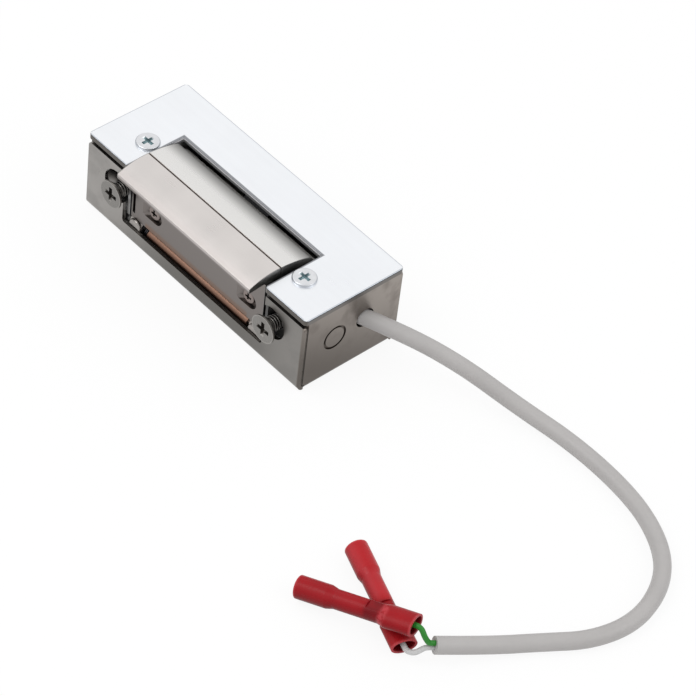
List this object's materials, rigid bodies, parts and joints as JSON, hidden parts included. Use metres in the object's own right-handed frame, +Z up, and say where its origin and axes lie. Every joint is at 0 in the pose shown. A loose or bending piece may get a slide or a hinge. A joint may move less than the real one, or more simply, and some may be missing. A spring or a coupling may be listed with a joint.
{
  "type": "electric strike",
  "caption": "Surface-mount electric strike: folded steel box with a screwed cover, a sprung radius keeper over the latch pocket, and a flexible lead ending in crimp connectors.",
  "frame": {"origin": "middle of the housing's base, on the surface that the box stands on or is fixed to", "axes": "+X along the box towards the end that the lead leaves, -Y out of the latch side, +Z up through the cover"},
  "size_m": [0.1808, 0.0846, 0.0253],
  "materials": {
    "box_steel": "zinc plated sheet, satin",
    "cover_steel": "zinc plated sheet, bright",
    "zinc_screw": "zinc plated, bright",
    "cast_zinc": "die-cast zinc, plated",
    "satin_nickel": "satin nickel",
    "pin_steel": "ground",
    "copper_sleeve": "copper coloured, drawn",
    "spring_steel": "blued wire",
    "bobbin_plastic": "moulded",
    "winding_copper": "enamelled wire",
    "soft_iron": "annealed, plated",
    "lever_steel": "hardened, blackened",
    "inner_insulation": "extruded",
    "clamp_plastic": "moulded",
    "sheath_grey": "extruded, satin",
    "insulation_green": "extruded",
    "insulation_white": "extruded",
    "insulation_red": "moulded, satin",
    "tinned_copper": "tinned"
  },
  "bodies": {
    "case": {"housing": "box_steel", "cover_plate": "cover_steel", "cover_screws": "zinc_screw", "base_screws": "zinc_screw", "faceplate_screws": "zinc_screw", "strike_frame": "cast_zinc", "keeper_pin": "pin_steel", "pin_sleeve": "copper_sleeve", "keeper_spring": "spring_steel", "thrust_washers": "pin_steel", "coil_bobbin": "bobbin_plastic", "coil_winding": "winding_copper", "coil_core": "soft_iron", "yoke": "soft_iron", "lever_pin": "pin_steel", "lever_spring": "spring_steel", "coil_leads": "inner_insulation", "cable_clamp": "clamp_plastic", "cable_sheath": "sheath_grey", "green_core": "insulation_green", "white_core": "insulation_white", "upper_connector_sleeve": "insulation_red", "lower_connector_sleeve": "insulation_red", "upper_connector_barrel": "tinned_copper", "lower_connector_barrel": "tinned_copper"},
    "keeper": {"keeper": "satin_nickel", "keeper_lip": "satin_nickel", "lip_screws": "zinc_screw"},
    "lever": {"locking_lever": "lever_steel", "armature": "soft_iron"}
  },
  "joints": [
    {"name": "keeper_swing", "type": "hinge", "parent": "case", "child": "keeper", "pos_m": [0, -0.0119, 0.004], "axis": [-1, 0, 0], "range_deg": [0, 22], "stiffness_Nm_per_rad": 0.03, "springref_deg": -22.92, "deforming": ["keeper_spring"]},
    {"name": "lever_release", "type": "hinge", "parent": "case", "child": "lever", "pos_m": [0, 0.0115, 0.0127], "axis": [-1, 0, 0], "range_deg": [0, 15], "stiffness_Nm_per_rad": 0.01, "springref_deg": -17.19, "deforming": ["lever_spring"]}
  ],
  "couplings": [
    {"joint": "lever_release", "follows": "keeper_swing", "ratio": 0.6818}
  ]
}
